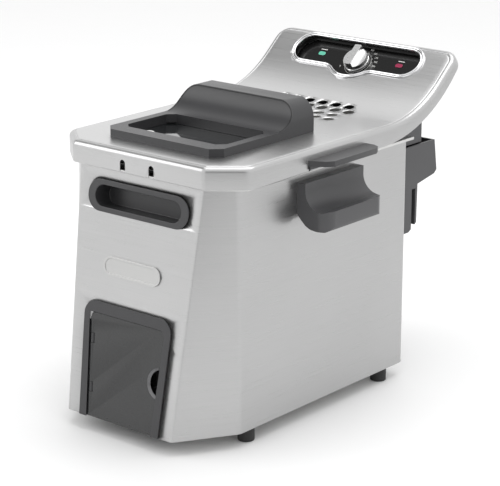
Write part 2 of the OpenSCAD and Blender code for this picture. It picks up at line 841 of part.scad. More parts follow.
module lid_tab() difference() {
    union() {
        translate([0, 0, tab_z]) linear_extrude(tab_t) polygon([[lid_w / 2 + touch, 100], [tab_x - 6, 110],
            [tab_x, 118], [tab_x, 198], [tab_x - 4, 206], [tab_x - 12, 210], [lid_w / 2 + touch, 210]]);
        translate([lid_w / 2 + touch, 101, tab_z - 4]) cube([2.5, 108, 5]);
    }
    for (y = tab_rivet_y) translate([lid_w / 2 - 5, y, tab_z + tab_t / 2]) rotate([0, 90, 0])
        cylinder(r = 1.5, h = 17, $fn = small);
}

module lid_tab_right() place() color(dark_grey) lid_tab();
module lid_tab_left() place() color(dark_grey) mirror([1, 0, 0]) lid_tab();

module tab_rivets() place() color(zinc) both() for (y = tab_rivet_y)
    translate([lid_w / 2 - lid_t, y, tab_z + tab_t / 2]) rotate([0, 90, 0]) {
        translate([0, 0, -1.5]) cylinder(r = 3, h = 1.4, $fn = small);
        translate([0, 0, -1]) cylinder(r = 1.45, h = 12, $fn = small);
    }

filter_z = 314;
filter_x = 76;

module filter_tray() place() color(steel) difference() {
    translate([0, 0, filter_z]) linear_extrude(lid_z - lid_t - touch - filter_z)
        round_rect(-filter_x, filter_x, 228, 304, 6);
    translate([0, 0, filter_z + 1]) linear_extrude(40)
        round_rect(1 - filter_x, filter_x - 1, 229, 303, 5);
    for (y = [240 : 10 : 292], x = [-60 : 30 : 60]) translate([x - 10, y, filter_z - 1]) cube([20, 4, 4]);
}

module filter_pad() place() color([0.35, 0.35, 0.3])
    translate([0, 0, filter_z + 1 + touch]) linear_extrude(14)
        round_rect(1.5 - filter_x, filter_x - 1.5, 229.5, 302.5, 5);

// ---------- basket ----------

module basket_frame() place() color(zinc) {
    translate([0, 0, basket_rim - 5]) linear_extrude(5) difference() {
        round_rect(-basket_x - rim_w, basket_x + rim_w, basket_front - rim_w, basket_rear + rim_w,
                   basket_r + rim_w);
        round_rect(-basket_x, basket_x, basket_front, basket_rear, basket_r);
    }
    for (y = bar_y) difference() {
        translate([-basket_x - 3, y - 2, basket_floor - 3])
            cube([2 * basket_x + 6, 4, basket_rim - 5 - basket_floor + 3 + touch]);
        translate([-basket_x - touch, y - 3, basket_floor - touch])
            cube([2 * basket_x + 2 * touch, 6, far]);
    }
    // lugs that hang the basket on the tank's flange
    both() translate([basket_x, lug_y, 0]) {
        translate([0, 0, basket_rim - 5]) cube([rim_w, lug_w, lug_z + lug_t - basket_rim + 5]);
        translate([0, 0, lug_z]) cube([lug_reach, lug_w, lug_t]);
    }
}

module basket_mesh() place() color(zinc) difference() {
    translate([0, 0, basket_floor]) linear_extrude(basket_rim - basket_floor - 0.5)
        round_rect(touch - basket_x, basket_x - touch, basket_front + touch, basket_rear - touch, basket_r);
    translate([0, 0, basket_floor + basket_t]) linear_extrude(far)
        round_rect(basket_t - basket_x, basket_x - basket_t, basket_front + basket_t,
                   basket_rear - basket_t, basket_r - 1);
}

// Bracket on the basket's front that the handle's wires turn in: a plate and two ears
module handle_bracket() place() color(zinc) difference() {
    rim_y = basket_front - rim_w - touch;
    ear_y = fold_y - 4;
    union() {
        translate([-32, rim_y - 2, basket_rim - 22]) cube([64, 2, 20]);
        both() translate([ear_x, 0, 0]) {
            translate([0, ear_y, basket_rim - 22]) cube([ear_t, rim_y - ear_y, fold_z + 2 - basket_rim + 22]);
            translate([0, ear_y, basket_rim + touch]) cube([ear_t, 7.5, fold_z + 3.5 - basket_rim - touch]);
        }
    }
    translate([0, fold_y, fold_z]) rotate([0, 90, 0])
        cylinder(r = wire_r + 0.06, h = 80, center = true, $fn = small);
}

module folded() { translate([0, fold_y, fold_z]) rotate([-fold_dip, 0, 0]) children(); }

module handle_wires() place() color(zinc) {
    folded() {
        both() rod([wire_x, 0, 0], [wire_x, wire_len + wire_in_grip, 0], wire_r);
        rod([-34, 0, 0], [34, 0, 0], wire_r);
        both() translate([wire_x, 0, 0]) sphere(wire_r, $fn = small);
    }
}

module handle_grip() place() color(dark_grey) folded() difference() {
    translate([0, wire_len + grip_len / 2, 0]) rotate([90, 0, 0])
        linear_extrude(grip_len, center = true) pill(58, 14);
    both() rod([wire_x, 0, 0], [wire_x, wire_len + wire_in_grip + touch, 0], wire_r + touch);
}

// ---------- control unit ----------

// Side view of the control unit: an upright block, and a head that follows the lid's slope
module block_side(t) {
    depth = panel_recess + panel_t + touch + t;
    top_y = slope_y + (head_s - t) * cos(slope) + depth * sin(slope);
    top_z = slope_z + (head_s - t) * sin(slope) - depth * cos(slope);
    polygon([[block_front, block_z + t], [block_rear - t, block_z + t], [block_rear - t, head_z[0] + t],
             [head_rear - t, head_z[1] + t], [top_y, top_z],
             [block_front, top_z - (top_y - block_front) * tan(slope)]]);
}

module panel_holes() {
    translate([0, 0, -panel_recess - panel_t - 10]) {
        translate([0, knob_s, 0]) cylinder(r = spindle_r + 1, h = 20, $fn = small);
        both() translate([lamp_x, lamp_s, 0]) cylinder(r = 2.5, h = 20, $fn = small);
    }
}

module control_housing() place() color(mid_grey) difference() {
    yz(2 * block_x) block_side(0);
    yz(2 * (block_x - block_t)) block_side(block_t);
    translate([-far / 2, 0, 0]) cube([far, block_front + plate_t, far]);
    translate([lead_x, lead_y, block_z - 5]) cylinder(r = 5, h = 20, $fn = small);
    on_slope() panel_holes();
}

// Metal plate that closes the block's front and carries the element
module housing_front() place() color(zinc) difference() {
    translate([-block_x + 1, block_front, block_z + 1])
        cube([2 * block_x - 2, plate_t - touch, 33]);
    both() translate([leg_x, block_front - 5, leg_top]) rotate([-90, 0, 0])
        cylinder(r = element_r + touch, h = 20, $fn = small);
    translate([probe_x, block_front - 5, leg_top]) rotate([-90, 0, 0])
        cylinder(r = capillary_r + 0.2, h = 20, $fn = small);
    both() translate([plate_screw_x, block_front - 5, block_z + 8]) rotate([-90, 0, 0])
        cylinder(r = 2, h = 20, $fn = small);
}

module control_panel() place() color(black) on_slope() difference() {
    translate([0, 0, -panel_recess - panel_t]) linear_extrude(panel_t)
        round_rect(-98, 98, -44, head_s - 0.5, 10);
    panel_holes();
}

module lamp(x) {
    on_slope(-panel_recess + touch) translate([x, lamp_s, 0]) {
        linear_extrude(0.8) pill(11, 6);
        translate([0, 0, -8]) cylinder(r = 2.4, h = 8.2, $fn = small);
    }
}

module lamp_green() place() color([0.35, 0.75, 0.6]) lamp(-lamp_x);
module lamp_red() place() color([0.6, 0.25, 0.32]) lamp(lamp_x);

// Part of a ring of element tube, lying flat
module turn_flat(r, start, angle) {
    rotate([0, 0, start]) rotate_extrude(angle = angle, $fn = fine) translate([r, 0])
        circle(element_r, $fn = small);
}

// Quarter bend of a leg, in the (y, z) plane
module turn_up(y, z, start) {
    translate([leg_x, y, z]) rotate([90, 0, 90]) turn_flat(leg_bend, start, 90);
}

// Two mirrored halves: out of the plate, down into the tank and forward over its floor
module heating_element() place() color([0.35, 0.34, 0.33]) {
    both() {
        rod([leg_x, block_front + lead_in, leg_top], [leg_x, leg_y + leg_bend, leg_top], element_r);
        turn_up(leg_y + leg_bend, leg_top - leg_bend, 90);
        rod([leg_x, leg_y, leg_top - leg_bend], [leg_x, leg_y, element_z + leg_bend], element_r);
        turn_up(leg_y - leg_bend, element_z + leg_bend, 270);
        rod([leg_x, leg_y - leg_bend, element_z], [leg_x, near_y, element_z], element_r);
        translate([(leg_x + inner_x) / 2, near_y, element_z]) turn_flat((leg_x - inner_x) / 2, 180, 180);
        rod([inner_x, near_y, element_z], [inner_x, back_y, element_z], element_r);
        translate([(inner_x + core_x) / 2, back_y, element_z]) turn_flat((inner_x - core_x) / 2, 0, 180);
        rod([core_x, near_y + core_x, element_z], [core_x, back_y, element_z], element_r);
    }
    translate([0, near_y + core_x, element_z]) turn_flat(core_x, 180, 180);
}

// Flat bars under the element's runs that keep them apart
module element_stay() place() color(zinc)
    for (y = [110, 190]) translate([-90, y, element_z - element_r - stay_t - touch])
        cube([180, 8, stay_t]);

// The spindle turns in the bore
module thermostat() place() color(zinc)
    on_slope(-panel_recess - panel_t - block_t - 2 * touch - 12) difference() {
        translate([-20, -30, 0]) cube([40, 35, 12]);
        translate([0, knob_s, -1]) cylinder(r = spindle_r + 0.05, h = 14, $fn = small);
    }

// Capillary from the thermostat and the bulb that it reads the oil with
module thermostat_probe() place() color([0.72, 0.5, 0.32]) {
    rod([probe_x, block_front + lead_in, leg_top], [probe_x, leg_y, leg_top], capillary_r);
    translate([probe_x, leg_y, leg_top]) sphere(capillary_r, $fn = small);
    rod([probe_x, leg_y, leg_top], [probe_x, leg_y, probe_z], capillary_r);
    translate([probe_x, leg_y, probe_z]) sphere(capillary_r, $fn = small);
    rod([probe_x, leg_y, probe_z], [probe_x, back_y, probe_z], capillary_r);
    rod([probe_x, back_y, probe_z], [probe_x, probe_front, probe_z], bulb_r);
}

module safety_switch() place() color(black)
    translate([-70, block_front + 20, block_z + block_t + touch]) cube([28, 12, 18]);

module terminal_block() place() color([0.85, 0.83, 0.75])
    translate([2, block_front + 20, block_z + block_t + touch]) for (i = [0 : 2])
        translate([i * 12, 0, 0]) cube([11, 20, 14]);

// Studs through the plate, with their nuts inside the block
module housing_screws() place() color(zinc)
    both() translate([plate_screw_x, block_front, block_z + 8]) rotate([-90, 0, 0]) {
        translate([0, 0, plate_t]) cylinder(r = 3.5, h = 2.2, $fn = small);
        translate([0, 0, 0.2]) cylinder(r = 1.95, h = 12, $fn = small);
    }

// Sleeve that the mains lead comes out of, into the cord store
module cord_gland() place() color(rubber) translate([lead_x, lead_y, 0]) difference() {
    union() {
        translate([0, 0, block_z - 12]) cylinder(r = 4.9, h = 22, $fn = small);
        translate([0, 0, block_z - 3]) cylinder(r = 7.5, h = 2.9, $fn = small);
    }
    translate([0, 0, block_z - 13]) cylinder(r = 3.2, h = 30, $fn = small);
}

module knob() place() color(chrome) on_slope(0) {
    low = 0.8 - panel_recess;
    translate([0, knob_s, 0]) difference() {
        union() {
            translate([0, 0, low]) cylinder(r = knob_d / 2, h = 4, $fn = fine);
            translate([0, 0, low]) cylinder(r = knob_d / 2 - 0.5, h = 10, $fn = fine);
            intersection() {
                translate([-5, -knob_d / 2, low + 9]) cube([10, knob_d, knob_h - 9]);
                translate([0, 0, low]) cylinder(r = knob_d / 2 - 0.5, h = knob_h, $fn = fine);
            }
        }
        translate([0, 0, low - 1]) cylinder(r = spindle_r + touch, h = 11, $fn = small);
    }
}

module knob_spindle() place() color(zinc)
    on_slope(-panel_recess - panel_t - block_t - 9) translate([0, knob_s, 0])
        cylinder(r = spindle_r, h = 22, $fn = small);

body_shell();
base_plate();
rubber_feet();
foot_screws();
oil_tank();
drain_pipe();
front_grip();
blank_badge();
drain_bay();
door_hinge_pins();
carry_handle_left();
carry_handle_right();
handle_screws();
cord_store();
store_screws();
lid_shell();
lid_liner();
lid_gasket();
lid_hood();
window_glass();
window_seal();
hood_screws();
hood_clip();
panel_bezel();
bezel_well();
lid_tab_left();
lid_tab_right();
tab_rivets();
filter_tray();
filter_pad();
basket_frame();
basket_mesh();
handle_bracket();
handle_wires();
handle_grip();
control_housing();
housing_front();
control_panel();
lamp_green();
lamp_red();
heating_element();
element_stay();
thermostat();
thermostat_probe();
safety_switch();
terminal_block();
housing_screws();
cord_gland();
knob();
knob_spindle();
drain_door();
drain_hose();
hose_cap();
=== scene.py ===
import json
import math

import bmesh
import bpy
from mathutils import Matrix, Vector
from mathutils.geometry import delaunay_2d_cdt


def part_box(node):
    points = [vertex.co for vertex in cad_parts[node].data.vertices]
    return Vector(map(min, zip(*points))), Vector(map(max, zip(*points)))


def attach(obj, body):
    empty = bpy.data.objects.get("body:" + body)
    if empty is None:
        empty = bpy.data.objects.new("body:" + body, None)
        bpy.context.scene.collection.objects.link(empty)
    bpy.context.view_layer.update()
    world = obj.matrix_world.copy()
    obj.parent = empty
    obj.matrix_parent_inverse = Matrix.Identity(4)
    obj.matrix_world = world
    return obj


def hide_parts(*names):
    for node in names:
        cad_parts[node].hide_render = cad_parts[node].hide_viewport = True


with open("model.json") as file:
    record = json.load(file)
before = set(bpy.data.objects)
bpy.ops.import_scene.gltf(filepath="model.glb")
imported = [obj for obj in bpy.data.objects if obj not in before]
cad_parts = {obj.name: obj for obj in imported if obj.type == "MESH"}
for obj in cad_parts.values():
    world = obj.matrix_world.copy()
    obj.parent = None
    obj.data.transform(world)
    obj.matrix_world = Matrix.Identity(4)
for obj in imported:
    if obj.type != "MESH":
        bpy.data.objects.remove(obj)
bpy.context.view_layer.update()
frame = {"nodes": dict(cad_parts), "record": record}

# ---------------------------------------------------------------- layout
# Shapes are drawn in millimetres, with y counted back from the front edge of the body's side walls
# and z from the floor. The lid's top surface also has a length u along it, from its front edge.
MM = 0.001
SIDE_DEPTH = 318.8
WALL_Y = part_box("body_shell")[1].y - SIDE_DEPTH * MM
BODY_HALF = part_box("body_shell")[1].x / MM
BODY_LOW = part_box("body_shell")[0].z / MM
BODY_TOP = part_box("body_shell")[1].z / MM
LID_HALF = 141.0
LID_TOP = 336.0
LID_FRONT = -34.0

# front face of the body, which leans back
FACE_TOP_Y, FACE_LOW_Y = -27.0, -70.7
FACE_TOP_X, FACE_LOW_X = 94.2, 81.7
FACE_RUN = (FACE_TOP_Y - FACE_LOW_Y) / (BODY_TOP - BODY_LOW)
TILT = math.atan(FACE_RUN)

# rear part of the lid, which rises along an arc and then a slope
RISE_Y, RISE_R, SLOPE = 260.0, 162.0, math.radians(40)
LID_REAR = 401.0
FLAT_LEN = RISE_Y - LID_FRONT
ARC_LEN = RISE_R * SLOPE
RISE_END = (RISE_Y + RISE_R * math.sin(SLOPE), LID_TOP + RISE_R * (1 - math.cos(SLOPE)))
LID_LEN = FLAT_LEN + ARC_LEN + (LID_REAR - RISE_END[0]) / math.cos(SLOPE)
DIAL_Y = 380.0                                   # place on the slope that s is counted from
DIAL_U = FLAT_LEN + ARC_LEN + (DIAL_Y - RISE_END[0]) / math.cos(SLOPE)
DIAL_Z = RISE_END[1] + (DIAL_Y - RISE_END[0]) * math.tan(SLOPE)
PANEL_DEPTH = 10.0


def at(x, y, z):
    """A point in metres, from layout millimetres."""
    return Vector((x * MM, WALL_Y + y * MM, z * MM))


def face_y(z):
    """Where the front face is at a height."""
    return FACE_TOP_Y - (BODY_TOP - z) * FACE_RUN


def on_front(z):
    """Matrix to metres from millimetres on the front face: x across, y up the face, z out of it."""
    turn = Matrix.Rotation(math.pi / 2 - TILT, 4, "X")
    return Matrix.Translation(at(0, face_y(z), z)) @ turn @ Matrix.Scale(MM, 4)


def on_slope():
    """Matrix to metres from millimetres on the lid's slope: x across, y up the slope, z out of it."""
    turn = Matrix.Rotation(SLOPE, 4, "X")
    return Matrix.Translation(at(0, DIAL_Y, DIAL_Z)) @ turn @ Matrix.Scale(MM, 4)


# ---------------------------------------------------------------- materials
NOISE_LOW, NOISE_HIGH = 0.3, 0.7                 # nearly all of a noise texture lies between these
RELIEF = 0.0002                                  # height of the surface grain, metres


def make_material(name, color, rough, metallic=0.0, grain=(900, 900, 900), grain_rough=0.08,
                  tone=0.12, bump=0.05, smudge=14, **extra):
    """Principled material with a fine grain and a broad soft variation, both procedural.

    grain holds the cycles per metre of the fine noise along x, y and z, smudge those of the broad one.
    """
    m = bpy.data.materials.new(name)
    m.use_nodes = True
    nodes, links = m.node_tree.nodes, m.node_tree.links
    shader = nodes["Principled BSDF"]
    shader.inputs["Metallic"].default_value = metallic
    for key, value in extra.items():
        shader.inputs[key.replace("_", " ")].default_value = value
    place = nodes.new("ShaderNodeTexCoord")

    def noise(scale, detail):
        mapping = nodes.new("ShaderNodeMapping")
        mapping.inputs["Scale"].default_value = scale
        texture = nodes.new("ShaderNodeTexNoise")
        texture.inputs["Scale"].default_value = 1.0
        texture.inputs["Detail"].default_value = detail
        links.new(place.outputs["Object"], mapping.inputs["Vector"])
        links.new(mapping.outputs["Vector"], texture.inputs["Vector"])
        return texture.outputs["Fac"]

    def spread(source, low, high):
        node = nodes.new("ShaderNodeMapRange")
        node.inputs["From Min"].default_value = NOISE_LOW
        node.inputs["From Max"].default_value = NOISE_HIGH
        node.inputs["To Min"].default_value = low
        node.inputs["To Max"].default_value = high
        links.new(source, node.inputs["Value"])
        return node.outputs["Result"]

    fine = noise(grain, 3)
    broad = noise((smudge, smudge, smudge), 2)
    links.new(spread(fine, rough - grain_rough, rough + grain_rough), shader.inputs["Roughness"])
    both = nodes.new("ShaderNodeMath")
    both.operation = "ADD"
    links.new(spread(fine, -0.5, 0.5), both.inputs[0])
    links.new(spread(broad, -0.5, 0.5), both.inputs[1])
    mix = nodes.new("ShaderNodeMix")
    mix.data_type = "RGBA"
    dark = [c * (1 - tone) for c in color] + [1]
    light = [min(1, c * (1 + tone)) for c in color] + [1]
    mix.inputs["A"].default_value = dark
    mix.inputs["B"].default_value = light
    half = nodes.new("ShaderNodeMath")
    half.operation = "MULTIPLY_ADD"
    half.inputs[1].default_value = 0.5
    half.inputs[2].default_value = 0.5
    links.new(both.outputs[0], half.inputs[0])
    links.new(half.outputs[0], mix.inputs["Factor"])
    links.new(mix.outputs["Result"], shader.inputs["Base Color"])
    relief = nodes.new("ShaderNodeBump")
    relief.inputs["Strength"].default_value = bump
    relief.inputs["Distance"].default_value = RELIEF
    links.new(fine, relief.inputs["Height"])
    links.new(relief.outputs["Normal"], shader.inputs["Normal"])
    return m


STEEL = dict(rough=0.32, metallic=1.0, grain_rough=0.05, tone=0.06, bump=0.02, smudge=5)
LOOKS = {
    # brushed lines run round the body and the skirt, and across the lid's top
    "brushed_steel": dict(color=(0.47, 0.47, 0.47), grain=(12, 12, 2500), **STEEL),
    # the lid's top: the skirt's steel with its lines running across, drawn lighter than the body's
    # steel: painted light for the light the top catches
    "lid_top_brushed_painted_light": dict(color=(0.56, 0.56, 0.56), grain=(12, 2500, 2500), **STEEL),
    "tank_steel": dict(color=(0.66, 0.66, 0.65), grain=(60, 60, 60), **STEEL),
    "badge_metal": dict(color=(0.49, 0.49, 0.485), rough=0.32, metallic=1.0, grain=(25, 25, 4000),
                        grain_rough=0.03, tone=0.03, bump=0.01),
    "zinc_plate": dict(color=(0.6, 0.6, 0.59), rough=0.38, metallic=1.0, grain=(300, 300, 300)),
    "basket_wire": dict(color=(0.75, 0.75, 0.74), rough=0.22, metallic=1.0, grain=(400, 400, 400)),
    "chrome_trim": dict(color=(0.78, 0.78, 0.79), rough=0.08, metallic=1.0, grain_rough=0.03,
                        tone=0.03, bump=0.0),
    "knob_metal": dict(color=(0.88, 0.88, 0.88), rough=0.3, metallic=1.0, grain_rough=0.04,
                       tone=0.03, bump=0.01),
    "dark_plastic": dict(color=(0.032, 0.032, 0.034), rough=0.38, grain_rough=0.06, bump=0.12),
    "grey_plastic": dict(color=(0.062, 0.062, 0.065), rough=0.42, grain_rough=0.06, bump=0.14),
    "black_plastic": dict(color=(0.006, 0.006, 0.006), rough=0.16, grain_rough=0.04, bump=0.02),
    "smoked_plastic": dict(color=(0.014, 0.0145, 0.015), rough=0.3, grain_rough=0.05, bump=0.03,
                           Coat_Weight=0.3, Coat_Roughness=0.12),
    # lighter grey than the smoked plastic of the door that the bevel belongs to: painted highlight
    # along the thumb cut
    "painted_highlight_grey": dict(color=(0.16, 0.16, 0.165), rough=0.22, grain_rough=0.04, bump=0.02),
    "white_plastic": dict(color=(0.8, 0.8, 0.78), rough=0.4, tone=0.03),
    "cream_plastic": dict(color=(0.72, 0.68, 0.55), rough=0.5, tone=0.06),
    "green_lens": dict(color=(0.12, 0.5, 0.36), rough=0.15, tone=0.15, bump=0.02, Coat_Weight=0.5),
    "red_lens": dict(color=(0.3, 0.02, 0.07), rough=0.15, tone=0.2, bump=0.02, Coat_Weight=0.5),
    # opaque near-black glass: the dark colour is painted shade of the fryer's interior seen through the
    # window
    "window_glass": dict(color=(0.012, 0.013, 0.014), rough=0.06, grain_rough=0.02, bump=0.0,
                         Coat_Weight=0.6),
    "rubber": dict(color=(0.018, 0.018, 0.018), rough=0.65, grain_rough=0.1, bump=0.3),
    "hose_rubber": dict(color=(0.03, 0.03, 0.03), rough=0.55, grain_rough=0.1, bump=0.2),
    "element_tube": dict(color=(0.12, 0.11, 0.105), rough=0.5, metallic=0.6, grain=(500, 500, 500),
                         tone=0.35),
    "copper": dict(color=(0.55, 0.29, 0.17), rough=0.35, metallic=1.0, grain=(500, 500, 500),
                   tone=0.15),
    "filter_felt": dict(color=(0.14, 0.14, 0.13), rough=0.95, grain=(1600, 1600, 500), tone=0.5,
                        bump=1.0),
    "print_white": dict(color=(0.75, 0.75, 0.73), rough=0.5, tone=0.05),
    # near-black for the hood's seam, the bezel's groove and the tab slots: painted shade where these
    # gaps fall dark
    "painted_shade": dict(color=(0.008, 0.008, 0.008), rough=0.6, tone=0.2),
}
MATERIALS = {look_name: make_material(look_name, **look) for look_name, look in LOOKS.items()}


# ---------------------------------------------------------------- mesh helpers
MERGE = 1e-6                                     # corners closer than this become one, metres
FINE_MERGE, CAD_MERGE = 1e-7, 2e-6
ON_PLANE = 1e-5                                  # corners closer than this to a plane lie on it, metres
CAD_FLAT = math.radians(0.6)                     # facets that meet flatter than this become one
BEVEL_ANGLE = math.radians(28)                   # edges sharper than this get rounded
BEVEL_SEGMENTS = 3
SAME_POINT = 1e-3                                # millimetres


def new_object(name, bm, materials, smooth=30):
    """An object from a bmesh in metres; edges sharper than smooth degrees stay sharp."""
    bmesh.ops.recalc_face_normals(bm, faces=bm.faces)
    for f in bm.faces:
        f.smooth = True
    for e in bm.edges:
        e.smooth = len(e.link_faces) != 2 or e.calc_face_angle(0) < math.radians(smooth)
    mesh = bpy.data.meshes.new(name)
    bm.to_mesh(mesh)
    bm.free()
    obj = bpy.data.objects.new(name, mesh)
    bpy.context.scene.collection.objects.link(obj)
    for m in materials:
        mesh.materials.append(MATERIALS[m])
    return obj


def declare(obj, body, slot, *nodes):
    """Says which body a piece moves with and hides the CAD nodes that it replaces; its material slot is
    not used.
    """
    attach(obj, body)
    if nodes:
        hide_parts(*nodes)
    return obj


def node_body(node):
    bodies = frame["record"]["behaviour"]["bodies"]
    return next(body for body, members in bodies.items() if node in members)


def node_slot(node):
    return next(s["material_slot"] for s in frame["record"]["subparts"] if s["node"] == node)


def add_modifier(obj, kind, **settings):
    m = obj.modifiers.new(kind.title(), kind)
    for key, value in settings.items():
        setattr(m, key, value)
    return m


def bake(obj):
    """Applies an object's modifiers."""
    graph = bpy.context.evaluated_depsgraph_get()
    mesh = bpy.data.meshes.new_from_object(obj.evaluated_get(graph))
    obj.modifiers.clear()
    obj.data = mesh


def soften(node, width, material=None):
    """A copy of a CAD node with rounded edges, width in millimetres."""
    bm = bmesh.new()
    bm.from_mesh(frame["nodes"][node].data)
    bmesh.ops.remove_doubles(bm, verts=bm.verts, dist=CAD_MERGE)
    bmesh.ops.dissolve_limit(bm, angle_limit=CAD_FLAT, verts=bm.verts, edges=bm.edges)
    slot = node_slot(node)
    obj = new_object(node + "_piece", bm, [material or slot])
    add_modifier(obj, "BEVEL", width=width * MM, segments=BEVEL_SEGMENTS, limit_method="ANGLE",
                 angle_limit=BEVEL_ANGLE, harden_normals=True)
    return declare(obj, node_body(node), slot, node)


def rings_mesh(bm, rings, closed=True, cap_first=False, cap_last=False, material=0):
    """Joins rings of equal length with quads and returns the rings' vertices."""
    made = [[bm.verts.new(p) for p in ring] for ring in rings]
    n = len(made[0])
    for a, b in zip(made, made[1:]):
        for i in range(n if closed else n - 1):
            j = (i + 1) % n
            bm.faces.new((a[i], a[j], b[j], b[i])).material_index = material
    for wanted, ring in ((cap_first, made[0]), (cap_last, made[-1])):
        if wanted:
            bm.faces.new(ring).material_index = material
    return made


def arc(cx, cy, r, a0, a1, n):
    """Points along an arc, angles in degrees."""
    return [(cx + r * math.cos(math.radians(a0 + (a1 - a0) * i / n)),
             cy + r * math.sin(math.radians(a0 + (a1 - a0) * i / n))) for i in range(n + 1)]


def pill(width, height, n=16):
    """Outline of a slot with round ends."""
    end = (width - height) / 2
    return arc(end, 0, height / 2, -90, 90, n) + arc(-end, 0, height / 2, 90, 270, n)


def rounded_rect(x0, x1, y0, y1, r, n=6):
    return (arc(x1 - r, y0 + r, r, -90, 0, n) + arc(x1 - r, y1 - r, r, 0, 90, n)
            + arc(x0 + r, y1 - r, r, 90, 180, n) + arc(x0 + r, y0 + r, r, 180, 270, n))


def rounded_outline(corners, radii, step, n=8):
    """Points and inward normals round a convex outline that runs anticlockwise.

    Straight stretches get a point about every step millimetres, each rounded corner n pieces.
    """
    points, tangents = [], []
    count = len(corners)
    for i in range(count):
        p, a, b = (Vector(corners[k % count]) for k in (i, i - 1, i + 1))
        to_a, to_b = (a - p).normalized(), (b - p).normalized()
        half = to_a.angle(to_b) / 2
        reach = radii[i] / math.tan(half)
        centre = p + (to_a + to_b).normalized() * radii[i] / math.sin(half)
        tangents.append((centre, p + to_a * reach, p + to_b * reach))
    for i, (centre, start, end) in enumerate(tangents):
        v0, v1 = start - centre, end - centre
        turn = abs(v0.angle_signed(v1))
        a0 = math.atan2(v0.y, v0.x)
        for k in range(n + 1):
            a = a0 + turn * k / n
            out = Vector((math.cos(a), math.sin(a)))
            points.append((centre + out * radii[i], -out))
        following = tangents[(i + 1) % count][1]
        parts = max(1, round((following - end).length / step))
        for k in range(1, parts):
            points.append((end.lerp(following, k / parts), -Vector((math.cos(a), math.sin(a)))))
    return points


def without_repeats(points):
    """The outline without points that lie on the one before them."""
    return [p for i, p in enumerate(points)
            if (Vector(p) - Vector(points[i - 1])).length > SAME_POINT]


def inside(point, loop):
    """Whether a point lies within a closed outline."""
    x, y = point
    hit = False
    for i, (x1, y1) in enumerate(loop):
        x0, y0 = loop[i - 1]
        if (y0 > y) != (y1 > y) and x < x0 + (y - y0) / (y1 - y0) * (x1 - x0):
            hit = not hit
    return hit


def tube(bm, points, r, sides=6, closed=False):
    """A round wire of radius r metres through the points."""
    count = len(points)
    rings = []
    for i, p in enumerate(points):
        before = points[i - 1] if i or closed else p
        after = points[(i + 1) % count] if i < count - 1 or closed else p
        along = (after - before).normalized()
        across = along.cross((0, 0, 1) if abs(along.z) < 0.9 else (1, 0, 0)).normalized()
        other = along.cross(across)
        rings.append([p + (across * math.cos(a) + other * math.sin(a)) * r
                      for a in (2 * math.pi * k / sides for k in range(sides))])
    if closed:
        made = rings_mesh(bm, rings)
        for k in range(sides):
            bm.faces.new((made[-1][k], made[-1][(k + 1) % sides], made[0][(k + 1) % sides], made[0][k]))
    else:
        rings_mesh(bm, rings, cap_first=True, cap_last=True)


# ---------------------------------------------------------------- lid
def lid_profile(u):
    """The y, z and slope of the lid's top, u millimetres along it."""
    if u <= FLAT_LEN:
        return LID_FRONT + u, LID_TOP, 0.0
    if u <= FLAT_LEN + ARC_LEN:
        a = (u - FLAT_LEN) / RISE_R
        return RISE_Y + RISE_R * math.sin(a), LID_TOP + RISE_R * (1 - math.cos(a)), a
    run = u - FLAT_LEN - ARC_LEN
    return RISE_END[0] + run * math.cos(SLOPE), RISE_END[1] + run * math.sin(SLOPE), SLOPE


def on_lid(x, u, depth):
    """A point depth millimetres below the lid's top surface."""
    y, z, a = lid_profile(u)
    return at(x, y + depth * math.sin(a), z - depth * math.cos(a))


# lower edge of the skirt: heights at the front and the side, then an arc up to the rear
SKIRT_FRONT, SKIRT_SIDE = 310.0, 313.0
SKIRT_ARC_Y, SKIRT_ARC_R, SKIRT_ARC_END = 245.0, 200.0, 392.0
REAR_SKIRT, DEEPEST_SKIRT = 13.0, 60.0


def skirt_edge(y):
    """Height of the skirt's lower edge."""
    if y <= SKIRT_ARC_Y:
        return SKIRT_FRONT + (SKIRT_SIDE - SKIRT_FRONT) * (y - LID_FRONT) / (SKIRT_ARC_Y - LID_FRONT)
    top = SKIRT_SIDE + SKIRT_ARC_R
    if y <= SKIRT_ARC_END:
        return top - math.sqrt(SKIRT_ARC_R ** 2 - (y - SKIRT_ARC_Y) ** 2)
    start = skirt_edge(SKIRT_ARC_END)
    rear_y, rear_z, _ = lid_profile(LID_LEN)
    end_y = rear_y + REAR_SKIRT * math.sin(SLOPE)
    end_z = rear_z - REAR_SKIRT * math.cos(SLOPE)
    return start + (end_z - start) * (y - SKIRT_ARC_END) / (end_y - SKIRT_ARC_END)


def skirt_depth(u):
    """Distance from the top surface to the skirt's lower edge, square to the surface."""
    y, z, a = lid_profile(u)
    low, high = 0.0, DEEPEST_SKIRT
    for _ in range(30):
        mid = (low + high) / 2
        above = z - mid * math.cos(a) > skirt_edge(y + mid * math.sin(a))
        low, high = (mid, high) if above else (low, mid)
    return low


# dial opening: two round ends and a belly round the knob; s is counted up the slope from DIAL_Y
BEAN_HALF, BEAN_R, BEAN_S = 75.5, 25.0, -3.0
BELLY_R, BELLY_S, BELLY_BLEND = 40.0, -2.0, 20.0


def bean(grow):
    """Outline of the dial opening, grown by some millimetres: x across, y up the slope."""
    blend_s = BEAN_S - BEAN_R - BELLY_BLEND
    blend_x = math.sqrt((BELLY_R + BELLY_BLEND) ** 2 - (BELLY_S - blend_s) ** 2)
    turn = math.degrees(math.atan2(BELLY_S - blend_s, -blend_x))
    return (arc(BEAN_HALF, BEAN_S, BEAN_R + grow, -90, 90, 24)
            + arc(-BEAN_HALF, BEAN_S, BEAN_R + grow, 90, 270, 24)
            + arc(-blend_x, blend_s, BELLY_BLEND - grow, 90, 180 - turn, 8)
            + arc(0, BELLY_S, BELLY_R + grow, 360 - turn, 180 + turn, 20)
            + arc(blend_x, blend_s, BELLY_BLEND - grow, turn, 90, 8))


